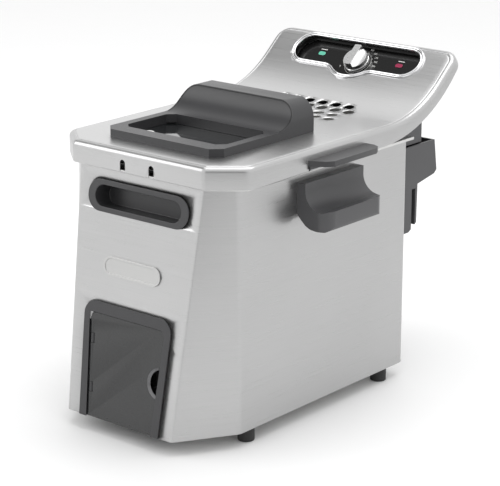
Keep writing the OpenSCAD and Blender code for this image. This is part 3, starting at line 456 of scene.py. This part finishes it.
VENT_R, VENT_PITCH, VENT_SIDES = 7.0, 20.5, 28
VENT_ROWS = ((240, 7), (260, 6), (280, 7), (294, 6))   # y, count


def lid_length(y):
    """Length along the lid's top to a place y on its flat or its arc."""
    if y <= RISE_Y:
        return y - LID_FRONT
    return FLAT_LEN + RISE_R * math.asin((y - RISE_Y) / RISE_R)


def vent_centres():
    for y, count in VENT_ROWS:
        for i in range(count):
            yield (i - (count - 1) / 2) * VENT_PITCH, lid_length(y)


# plan of the lid: the front corners are cut off between these two
LID_CUT_X, LID_CUT_U = 100.0, 34.5
LID_CORNERS = ((-LID_CUT_X, 0), (LID_CUT_X, 0), (LID_HALF, LID_CUT_U), (LID_HALF, LID_LEN),
               (-LID_HALF, LID_LEN), (-LID_HALF, LID_CUT_U))
LID_RADII = (10, 10, 22, 20, 20, 22)
LID_STEP, LID_SHEET = 6.0, 1.2
WINDOW_HALF, WINDOW_FRONT, WINDOW_REAR, WINDOW_R = 79.3, 21.7, 112.3, 8
DIAL_GROWTH = -3
# slots in the front of the skirt, which are open at the bottom
SLOT_X, SLOT_LOW, SLOT_TOP, SLOT_HALF = 22.0, SKIRT_FRONT - 6, 325.0, 4.0

# section of the lid's edge, as (inset, depth): lip of the skirt, rounded bead, groove in the top
LIP = ((1.1, 0.2), (0.5, 0.0), (0.1, 0.4), (0.0, 1.0))   # depth here is height above the skirt's edge
BEAD_R, BEAD_STEPS = 6.0, 6
GROOVE = ((6.3, 0.1), (6.7, 0.9), (7.3, 0.9), (7.8, 0.1), (8.4, 0.0))
NEAR_EDGE = 0.45                                 # no inner point this close to an edge, in steps


def make_lid():
    """The lid's pressing: skirt, bead and groove as rings, and the flat top with its openings."""
    outline = rounded_outline(LID_CORNERS, LID_RADII, LID_STEP)
    depths = [skirt_depth(p.y) for p, _ in outline]

    def ring(inset, depth, from_edge=False):
        return [on_lid(p.x + n.x * inset, p.y + n.y * inset, d - depth if from_edge else depth)
                for (p, n), d in zip(outline, depths)]

    bm = bmesh.new()
    skirt = [ring(inset, height, True) for inset, height in LIP]
    turns = [math.pi / 2 * k / BEAD_STEPS for k in range(BEAD_STEPS + 1)]
    bead = [ring(BEAD_R * (1 - math.cos(a)), BEAD_R * (1 - math.sin(a))) for a in turns]
    made = rings_mesh(bm, skirt + bead, material=0)
    groove = rings_mesh(bm, [bead[-1]] + [ring(i, d) for i, d in GROOVE], material=1)
    bmesh.ops.remove_doubles(bm, verts=made[-1] + groove[0], dist=FINE_MERGE)

    # the top is laid out flat, x and u, and then bent along the profile
    inset = GROOVE[-1][0]
    edge = [(p.x + n.x * inset, p.y + n.y * inset) for p, n in outline]
    window = rounded_rect(-WINDOW_HALF, WINDOW_HALF, WINDOW_FRONT - LID_FRONT,
                          WINDOW_REAR - LID_FRONT, WINDOW_R)
    dial = [(x, DIAL_U + s) for x, s in without_repeats(bean(DIAL_GROWTH))]
    vents = [arc(x, u, VENT_R, 0, 360, VENT_SIDES)[:-1] for x, u in vent_centres()]
    holes = [without_repeats(window), dial] + vents
    points, lines = [], []
    for loop in [edge] + holes:
        start = len(points)
        points += [Vector(p) for p in loop]
        lines += [(start + i, start + (i + 1) % len(loop)) for i in range(len(loop))]
    for i in range(int(2 * LID_HALF / LID_STEP)):
        for k in range(int(LID_LEN / LID_STEP)):
            p = (-LID_HALF + LID_STEP * (i + 0.5), LID_STEP * (k + 0.5))
            gap = min((Vector(p) - q).length for q in points[:len(lines)])
            near = gap < NEAR_EDGE * LID_STEP
            if not near and inside(p, edge) and not any(inside(p, h) for h in holes):
                points.append(Vector(p))
    verts, _, faces, *_ = delaunay_2d_cdt(points, lines, [], 1, 1e-5)
    top = [bm.verts.new(on_lid(v.x, v.y, 0)) for v in verts]
    for f in faces:
        centre = sum((verts[i] for i in f), Vector((0, 0))) / len(f)
        if inside(centre, edge) and not any(inside(centre, h) for h in holes):
            bm.faces.new([top[i] for i in f]).material_index = 1
    bmesh.ops.remove_doubles(bm, verts=bm.verts, dist=MERGE)
    bmesh.ops.delete(bm, geom=[v for v in bm.verts if not v.link_faces], context="VERTS")
    slot = [(-SLOT_HALF, SLOT_LOW), (SLOT_HALF, SLOT_LOW)]
    slot += arc(0, SLOT_TOP - SLOT_HALF, SLOT_HALF, 0, 180, 10)
    for side in (-1, 1):
        punch_front(bm, [(side * SLOT_X + x, z) for x, z in slot])
    # the top and its groove take the lighter copy of the steel: painted light for the light the top
    # catches
    obj = new_object("lid_pressing", bm, ["brushed_steel", "lid_top_brushed_painted_light"], smooth=50)
    add_modifier(obj, "SOLIDIFY", thickness=LID_SHEET * MM, offset=-1)
    return declare(obj, "lid", "lid_steel", "lid_shell")


def punch_front(bm, outline):
    """Cuts an opening of that outline (x, z) into the skirt's front face.

    Each side of the outline splits the faces there, and then the faces within it are deleted.
    """
    face_at = at(0, LID_FRONT, 0).y
    low_x, high_x = (pick(x for x, _ in outline) * MM for pick in (min, max))

    def near():
        return [f for f in bm.faces if all(abs(v.co.y - face_at) < ON_PLANE for v in f.verts)]

    for i, (x1, z1) in enumerate(outline):
        x0, z0 = outline[i - 1]
        region = []
        for f in near():
            xs = [v.co.x for v in f.verts]
            beside = any(low_x - MM < x < high_x + MM for x in xs)
            if beside or (min(xs) < low_x and max(xs) > high_x):
                region.append(f)
        geom = (region + list({e for f in region for e in f.edges})
                + list({v for f in region for v in f.verts}))
        bmesh.ops.bisect_plane(bm, geom=geom, dist=FINE_MERGE, plane_co=at(x0, 0, z0),
                               plane_no=(z1 - z0, 0, x0 - x1))
    loop = [(x * MM, z * MM) for x, z in outline]
    middles = [(f, f.calc_center_median()) for f in near()]
    gone = [f for f, middle in middles if inside((middle.x, middle.z), loop)]
    bmesh.ops.delete(bm, geom=gone, context="FACES")


# sections round the dial opening, as (growth, depth): chrome ring with a groove, black well wall
BEZEL = ((0.9, 0.3), (0.8, -1.0), (0.2, -2.1), (-0.8, -2.5), (-1.7, -2.2), (-2.2, -1.3),
         (-2.8, -1.3), (-3.3, -2.0), (-4.1, -2.1), (-4.8, -1.4), (-5.0, 0.4), (-3.4, 0.4))
# near-black strip laid in the bottom of the chrome ring's groove: painted shade in the groove
BEZEL_GROOVE = ((-2.05, -1.36), (-2.95, -1.36))
WELL_WALL = ((-3.2, 0.5), (-5.0, 0.5), (-5.1, 2.2), (-5.4, 2.6), (-5.4, 8.6), (-4.6, 9.2),
             (-3.2, 9.2))


def lid_trim(name, section, slot, material, *nodes):
    """A strip round the dial opening; section holds (growth of the outline, depth below the lid)."""
    bm = bmesh.new()
    loops = [[on_lid(x, DIAL_U + s, depth) for x, s in bean(grow)] for grow, depth in section]
    rings_mesh(bm, loops)
    bmesh.ops.remove_doubles(bm, verts=bm.verts, dist=MERGE)
    return declare(new_object(name, bm, [material], smooth=60), "lid", slot, *nodes)


# ---------------------------------------------------------------- body
BODY_RADII = (4, 4, 14, 8, 8, 14)
BODY_SHEET, BODY_LEVELS = 1.5, 12
LOW_EDGE = ((0.4, 0), (0.0, 0.5))                # rounding of the lower edge: height, inset
GRIP_Z, GRIP_HOLE, GRIP_CUT = 277, (143, 31), 12
BAY_HOLE = ((-54, -20), (54, -20), (62, 110), (50, 126), (-50, 126), (-62, 110))
BAY_CUT = (-100, -32)                            # from y to y, so that only the front face is cut


def make_body():
    """The body's sheet, with the openings of the front grip and of the drain bay."""
    def outline(z, inset):
        share = (z - BODY_LOW) / (BODY_TOP - BODY_LOW)
        fx = FACE_LOW_X + (FACE_TOP_X - FACE_LOW_X) * share
        corners = [(-fx, face_y(z)), (fx, face_y(z)), (BODY_HALF, 0), (BODY_HALF, SIDE_DEPTH),
                   (-BODY_HALF, SIDE_DEPTH), (-BODY_HALF, 0)]
        points = rounded_outline(corners, BODY_RADII, step=400, n=6)
        return [at(p.x + n.x * inset, p.y + n.y * inset, z) for p, n in points]

    heights = [BODY_LOW + (BODY_TOP - BODY_LOW) * k / BODY_LEVELS for k in range(BODY_LEVELS + 1)]
    edge = [outline(BODY_LOW + height, inset) for height, inset in LOW_EDGE]
    outer = [outline(z, 0) for z in heights[1:]][::-1]
    inner = [outline(z, BODY_SHEET) for z in heights]
    bm = bmesh.new()
    rings_mesh(bm, outer + edge + inner + [outer[0]])
    bmesh.ops.remove_doubles(bm, verts=bm.verts, dist=MERGE)
    obj = new_object("body_sheet", bm, ["brushed_steel"], smooth=25)
    cut = bmesh.new()
    m = on_front(GRIP_Z)
    grip = [[m @ Vector((x, y, z)) for x, y in pill(*GRIP_HOLE)] for z in (-GRIP_CUT, GRIP_CUT)]
    bay = [[at(x, y, BODY_LOW + z) for x, z in BAY_HOLE] for y in BAY_CUT]
    for ends in (grip, bay):
        rings_mesh(cut, ends, cap_first=True, cap_last=True)
    cutter = new_object("front_cutter", cut, ["brushed_steel"])
    add_modifier(obj, "BOOLEAN", operation="DIFFERENCE", solver="EXACT", object=cutter)
    bake(obj)
    bpy.data.objects.remove(cutter)
    return declare(obj, "fryer", "brushed_steel", "body_shell")


# ---------------------------------------------------------------- smaller pieces
# hood: its end, top and corner radius, and the cove of its front cover above the window's frame
HOOD_X, HOOD_Z, HOOD_ROUND = 87.5, 377.0, 25.0
FRAME_TOP, COVE_Y, COVE_R = 346.0, 110.0, 36.0
SEAM_INSET, SEAM_R = 1.3, 0.45
SEAM_FOOT = (0.4, 2, 4)                          # heights above the frame of the seam's first points


def make_hood_seam():
    """The seam where the hood's front cover meets its top and ends, drawn as a near-black tube: painted
    shade in the seam's gap.
    """
    def on_cove(x, z):
        return at(x, COVE_Y + math.sqrt(COVE_R ** 2 - (FRAME_TOP + COVE_R - z) ** 2), z)

    bend = arc(HOOD_X - HOOD_ROUND, HOOD_Z - HOOD_ROUND, HOOD_ROUND - SEAM_INSET, 0, 86, 14)
    right = [on_cove(HOOD_X - SEAM_INSET, FRAME_TOP + height) for height in SEAM_FOOT]
    right += [on_cove(x, z) for x, z in bend]
    path = right + [Vector((-p.x, p.y, p.z)) for p in reversed(right)]
    bm = bmesh.new()
    tube(bm, path, SEAM_R * MM)
    declare(new_object("hood_seam", bm, ["painted_shade"], smooth=60), "lid", "dark_plastic")


# printing on the dial panel; angles in degrees, s counted up the slope from DIAL_Y
KNOB_S, LAMP_X, LAMP_S = -8.0, 61.0, -2.2
RING_R, RING_WIDTH, MARK_R, MARK_SIZE, NUMBER_R, NUMBER_SIZE = 18.2, 0.3, 19.6, 0.55, 25.0, 3.6
DIAL_NUMBERS = ((68, "150"), (47, "160"), (29, "170"), (13, "180"), (-3, "190"))
DIAL_ZERO = (201, "0")
PLAIN_MARKS = (96, 156)
BAR_HALF, BAR_HEIGHT, BAR_RISE = 5, 1.1, 6.4     # bar over a lamp, and its distance from the lamp
PRINT_H = -PANEL_DEPTH + 0.12


def round_knob(angle, r):
    """A point of the dial panel, by its angle and distance from the knob's axis."""
    a = math.radians(angle)
    return r * math.cos(a), KNOB_S + r * math.sin(a)


def make_printing():
    """A ring, marks and numbers of degrees round the knob, and a bar over each lamp."""
    bm = bmesh.new()
    m = on_slope()

    def print_flat(outline):
        bm.faces.new([bm.verts.new(m @ Vector((x, s, PRINT_H))) for x, s in outline])

    rings = [[m @ Vector((x, s, PRINT_H)) for x, s in arc(0, KNOB_S, r, 0, 360, 60)[:-1]]
             for r in (RING_R, RING_R + RING_WIDTH)]
    rings_mesh(bm, rings)
    for angle in PLAIN_MARKS + tuple(a for a, _ in (DIAL_ZERO,) + DIAL_NUMBERS):
        print_flat(arc(*round_knob(angle, MARK_R), MARK_SIZE, 0, 360, 10)[:-1])
    low = LAMP_S + BAR_RISE
    for lamp in (-LAMP_X, LAMP_X):
        left, right = lamp - BAR_HALF, lamp + BAR_HALF
        print_flat([(left, low), (right, low), (right, low + BAR_HEIGHT), (left, low + BAR_HEIGHT)])
    for angle, number in DIAL_NUMBERS + (DIAL_ZERO,):
        data = bpy.data.curves.new("number", "FONT")
        data.body = number
        data.size = NUMBER_SIZE
        data.align_x, data.align_y = "CENTER", "CENTER"
        text = bpy.data.objects.new("number", data)
        bpy.context.scene.collection.objects.link(text)
        graph = bpy.context.evaluated_depsgraph_get()
        mesh = bpy.data.meshes.new_from_object(text.evaluated_get(graph))
        mesh.transform(m @ Matrix.Translation((*round_knob(angle, NUMBER_R), PRINT_H)))
        bm.from_mesh(mesh)
        bpy.data.objects.remove(text)
        bpy.data.curves.remove(data)
    declare(new_object("dial_printing", bm, ["print_white"]), "control_unit", "white_plastic")


BASKET_HALF, BASKET_FRONT, BASKET_REAR, BASKET_R = 91.2, 20.8, 265.2, 19.0
BASKET_FLOOR, BASKET_RIM, WIRE_PITCH, WIRE_R, WIRE_SIDES = 188.6, 299.0, 7.5, 0.5, 5
WIRE_BEND, WIRE_CROSSING = 2.0, 0.9              # bend at the floor; rise of one layer over the other


def make_basket_mesh():
    """Crossed wires in place of the CAD's plain tray; the floor's wires carry on up the walls."""
    bm = bmesh.new()

    def wire(points, closed=False):
        tube(bm, points, WIRE_R * MM, WIRE_SIDES, closed)

    def spread(low, high):
        count = round((high - low) / WIRE_PITCH)
        return [low + (high - low) * k / count for k in range(1, count)]

    def corner_inset(past):
        """How far a rounded corner draws the wall in, past millimetres beyond where it starts."""
        return BASKET_R - math.sqrt(max(0, BASKET_R ** 2 - max(0, past) ** 2))

    def half_wire(rim, floor_z):
        """Down one wall that stands at rim, and round the bend, as (distance out, z)."""
        return [(rim, BASKET_RIM), (rim, BASKET_FLOOR + WIRE_BEND), (rim - WIRE_BEND, floor_z)]

    plan = without_repeats(rounded_rect(-BASKET_HALF, BASKET_HALF, BASKET_FRONT, BASKET_REAR,
                                        BASKET_R, 8))
    for z in spread(BASKET_FLOOR, BASKET_RIM):
        wire([at(x, y, z) for x, y in plan], closed=True)
    middle, half_depth = (BASKET_FRONT + BASKET_REAR) / 2, (BASKET_REAR - BASKET_FRONT) / 2
    for x in spread(-BASKET_HALF, BASKET_HALF):
        inset = corner_inset(abs(x) - BASKET_HALF + BASKET_R)
        half = half_wire(half_depth - inset, BASKET_FLOOR)
        wire([at(x, middle - out, z) for out, z in half]
             + [at(x, middle + out, z) for out, z in reversed(half)])
    for y in spread(BASKET_FRONT, BASKET_REAR):
        inset = corner_inset(BASKET_R - min(y - BASKET_FRONT, BASKET_REAR - y))
        half = half_wire(BASKET_HALF - inset, BASKET_FLOOR + WIRE_CROSSING)
        wire([at(-out, y, z) for out, z in half] + [at(out, y, z) for out, z in reversed(half)])
    basket = new_object("basket_wires", bm, ["basket_wire"], smooth=80)
    declare(basket, "basket", "basket_wire", "basket_mesh")


THUMB_X, THUMB_Z, THUMB_R, THUMB_BEVEL = 56.4, 80.0, 18.75, 2.6
THUMB_OUT, THUMB_IN, THUMB_LAP = 0.5, -2.3, 0.1   # the bevel's faces, and its lap over the door


def make_thumb_bevel():
    """Bevel round the thumb cut of the drain door, in a grey much lighter than the door's smoked
    plastic: painted highlight on the bevel.
    """
    up_face = (THUMB_Z - BODY_LOW) / math.cos(TILT)
    m = on_front(BODY_LOW)
    section = ((THUMB_R + THUMB_LAP, THUMB_OUT), (THUMB_R - THUMB_BEVEL, THUMB_IN),
               (THUMB_R + THUMB_LAP, THUMB_IN))
    loops = [[m @ Vector((x, y, z)) for x, y in arc(THUMB_X, up_face, r, 100, 260, 32)]
             for r, z in section]
    bm = bmesh.new()
    rings_mesh(bm, loops, closed=False)
    declare(new_object("thumb_bevel", bm, ["painted_highlight_grey"], smooth=40), "drain_door", "smoked_plastic")


TAB_FRONT, TAB_SLOT_LOW, TAB_SLOT_TOP, TAB_SLOT_WIDTH = 104.0, 312.0, 319.0, 3.2
TAB_SLOT_LEAN, TAB_SLOT_OUT = 1.0, 0.05          # lean of its front edge; distance off the skirt


def make_tab_slots():
    """Front end of the slot in the skirt that each tab passes through, drawn as a near-black sheet just
    off the skirt: painted shade in the slot's opening.
    """
    bm = bmesh.new()
    front = TAB_FRONT - TAB_SLOT_WIDTH
    outline = [(front, TAB_SLOT_LOW), (TAB_FRONT, TAB_SLOT_LOW), (TAB_FRONT, TAB_SLOT_TOP),
               (front + TAB_SLOT_LEAN, TAB_SLOT_TOP)]
    for side in (-1, 1):
        x = side * (LID_HALF + TAB_SLOT_OUT)
        bm.faces.new([bm.verts.new(at(x, y, z)) for y, z in outline])
    declare(new_object("tab_slots", bm, ["painted_shade"]), "lid", "dark_plastic")


# ---------------------------------------------------------------- build the pieces
# CAD nodes that only get rounded edges, and the width of the rounding in millimetres
SOFTENED = {
    "front_grip": 1.4, "blank_badge": 0.5, "drain_bay": 1.2, "drain_door": 0.8,
    "carry_handle_left": 1.2, "carry_handle_right": 1.2, "cord_store": 1.5, "lid_hood": 1.2,
    "window_glass": 0.5, "hood_clip": 0.8, "lid_tab_left": 1.2, "lid_tab_right": 1.2,
    "handle_grip": 2.0, "control_housing": 2.0, "control_panel": 0.5, "lamp_green": 0.5,
    "lamp_red": 0.5, "rubber_feet": 1.2, "hose_cap": 0.8, "drain_hose": 0.5, "oil_tank": 0.5,
    "filter_tray": 0.3, "handle_bracket": 0.4, "basket_frame": 0.5, "thermostat": 0.6,
    "safety_switch": 0.6, "terminal_block": 0.6, "lid_liner": 0.2, "lid_gasket": 0.8,
}
KNOB_ROUNDING = 1.1

make_lid()
make_body()
lid_trim("panel_bezel_ring", BEZEL, "chrome_trim", "chrome_trim", "panel_bezel")
lid_trim("bezel_groove", BEZEL_GROOVE, "chrome_trim", "painted_shade")
lid_trim("bezel_well_wall", WELL_WALL, "black_plastic", "black_plastic", "bezel_well")
make_hood_seam()
make_tab_slots()
make_printing()
make_thumb_bevel()
make_basket_mesh()
for node_name, bevel_width in SOFTENED.items():
    soften(node_name, bevel_width)
soften("knob", KNOB_ROUNDING, "knob_metal")

# the CAD nodes that nothing replaces keep their shape and get their material
for node_name, node_object in frame["nodes"].items():
    slot_name = node_slot(node_name)
    if slot_name == "lid_steel":
        slot_name = "brushed_steel"
    node_object.data.materials.clear()
    node_object.data.materials.append(MATERIALS[slot_name])

# ---------------------------------------------------------------- camera, light and floor
# lengths in metres from here on
AZIMUTH, ELEVATION, ROLL = math.radians(39.786), math.radians(16.79), math.radians(0.122)
CAMERA_DISTANCE, LENS, FAR_CLIP = 2.4657, 143.9, 50
CAMERA_AIM = (0, WALL_Y + 0.2, 0.185)
AIM_LEFT, AIM_DOWN = 0.021564, 0.007888          # shift of that point in the picture's plane
LIGHT_AIM = (0, 0, 0.2)
LIGHTS = (                                       # name, place, size, power in watts
    ("left_box", (-1.6, -1.4, 1.3), (1.2, 1.6), 14),
    ("top_box", (0.2, 0.3, 2.2), (1.6, 1.6), 16),
)
FLOOR_HALF = 6


def make_camera():
    level = math.cos(ELEVATION)
    back = Vector((math.sin(AZIMUTH) * level, -math.cos(AZIMUTH) * level, math.sin(ELEVATION)))
    level_right = (-back).cross(Vector((0, 0, 1))).normalized()
    level_up = level_right.cross(-back)
    right = level_right * math.cos(ROLL) + level_up * math.sin(ROLL)
    up = level_up * math.cos(ROLL) - level_right * math.sin(ROLL)
    target = Vector(CAMERA_AIM) - right * AIM_LEFT - up * AIM_DOWN
    data = bpy.data.cameras.new("camera")
    data.lens = LENS
    data.clip_end = FAR_CLIP
    cam = bpy.data.objects.new("camera", data)
    bpy.context.scene.collection.objects.link(cam)
    cam.matrix_world = Matrix.Translation(target + back * CAMERA_DISTANCE) @ Matrix(
        (right, up, back)).transposed().to_4x4()
    bpy.context.scene.camera = cam


def area_light(name, place, size, power):
    data = bpy.data.lights.new(name, "AREA")
    data.shape = "RECTANGLE"
    data.size, data.size_y = size
    data.energy = power
    lamp = bpy.data.objects.new(name, data)
    lamp.location = place
    lamp.rotation_euler = (Vector(LIGHT_AIM) - Vector(place)).to_track_quat("-Z", "Y").to_euler()
    bpy.context.scene.collection.objects.link(lamp)


def make_floor():
    bm = bmesh.new()
    bmesh.ops.create_grid(bm, x_segments=8, y_segments=8, size=FLOOR_HALF)
    floor = new_object("floor", bm, [])
    paint = make_material("floor_paint", (0.86, 0.86, 0.86), 0.7, tone=0.004, bump=0.0)
    floor.data.materials.append(paint)


# darker patches of the surroundings: direction, cosines where the fall-off starts and ends, and
# the share of the light that is left there
WORLD_STRENGTH = 1.15
DARK_PATCHES = (
    ((0.66, -0.75, 0.02), 0.88, 0.985, 0.15),
    ((-0.72, -0.2, 0.66), 0.8, 0.97, 0.3),
)


def make_world():
    """Even white surroundings, darkened in the patches."""
    world = bpy.data.worlds.new("studio")
    bpy.context.scene.world = world
    world.use_nodes = True
    nodes, links = world.node_tree.nodes, world.node_tree.links
    place = nodes.new("ShaderNodeTexCoord")
    light = None
    for direction, start, end, left in DARK_PATCHES:
        dot = nodes.new("ShaderNodeVectorMath")
        dot.operation = "DOT_PRODUCT"
        dot.inputs[1].default_value = direction
        links.new(place.outputs["Generated"], dot.inputs[0])
        patch = nodes.new("ShaderNodeMapRange")
        patch.inputs["From Min"].default_value = start
        patch.inputs["From Max"].default_value = end
        patch.inputs["To Min"].default_value = 1.0
        patch.inputs["To Max"].default_value = left
        links.new(dot.outputs["Value"], patch.inputs["Value"])
        if light is None:
            light = patch.outputs["Result"]
            continue
        both = nodes.new("ShaderNodeMath")
        both.operation = "MULTIPLY"
        links.new(light, both.inputs[0])
        links.new(patch.outputs["Result"], both.inputs[1])
        light = both.outputs[0]
    links.new(light, nodes["Background"].inputs["Color"])
    nodes["Background"].inputs["Strength"].default_value = WORLD_STRENGTH


make_camera()
make_world()
make_floor()
for light in LIGHTS:
    area_light(*light)
bpy.context.scene.view_settings.view_transform = "Standard"
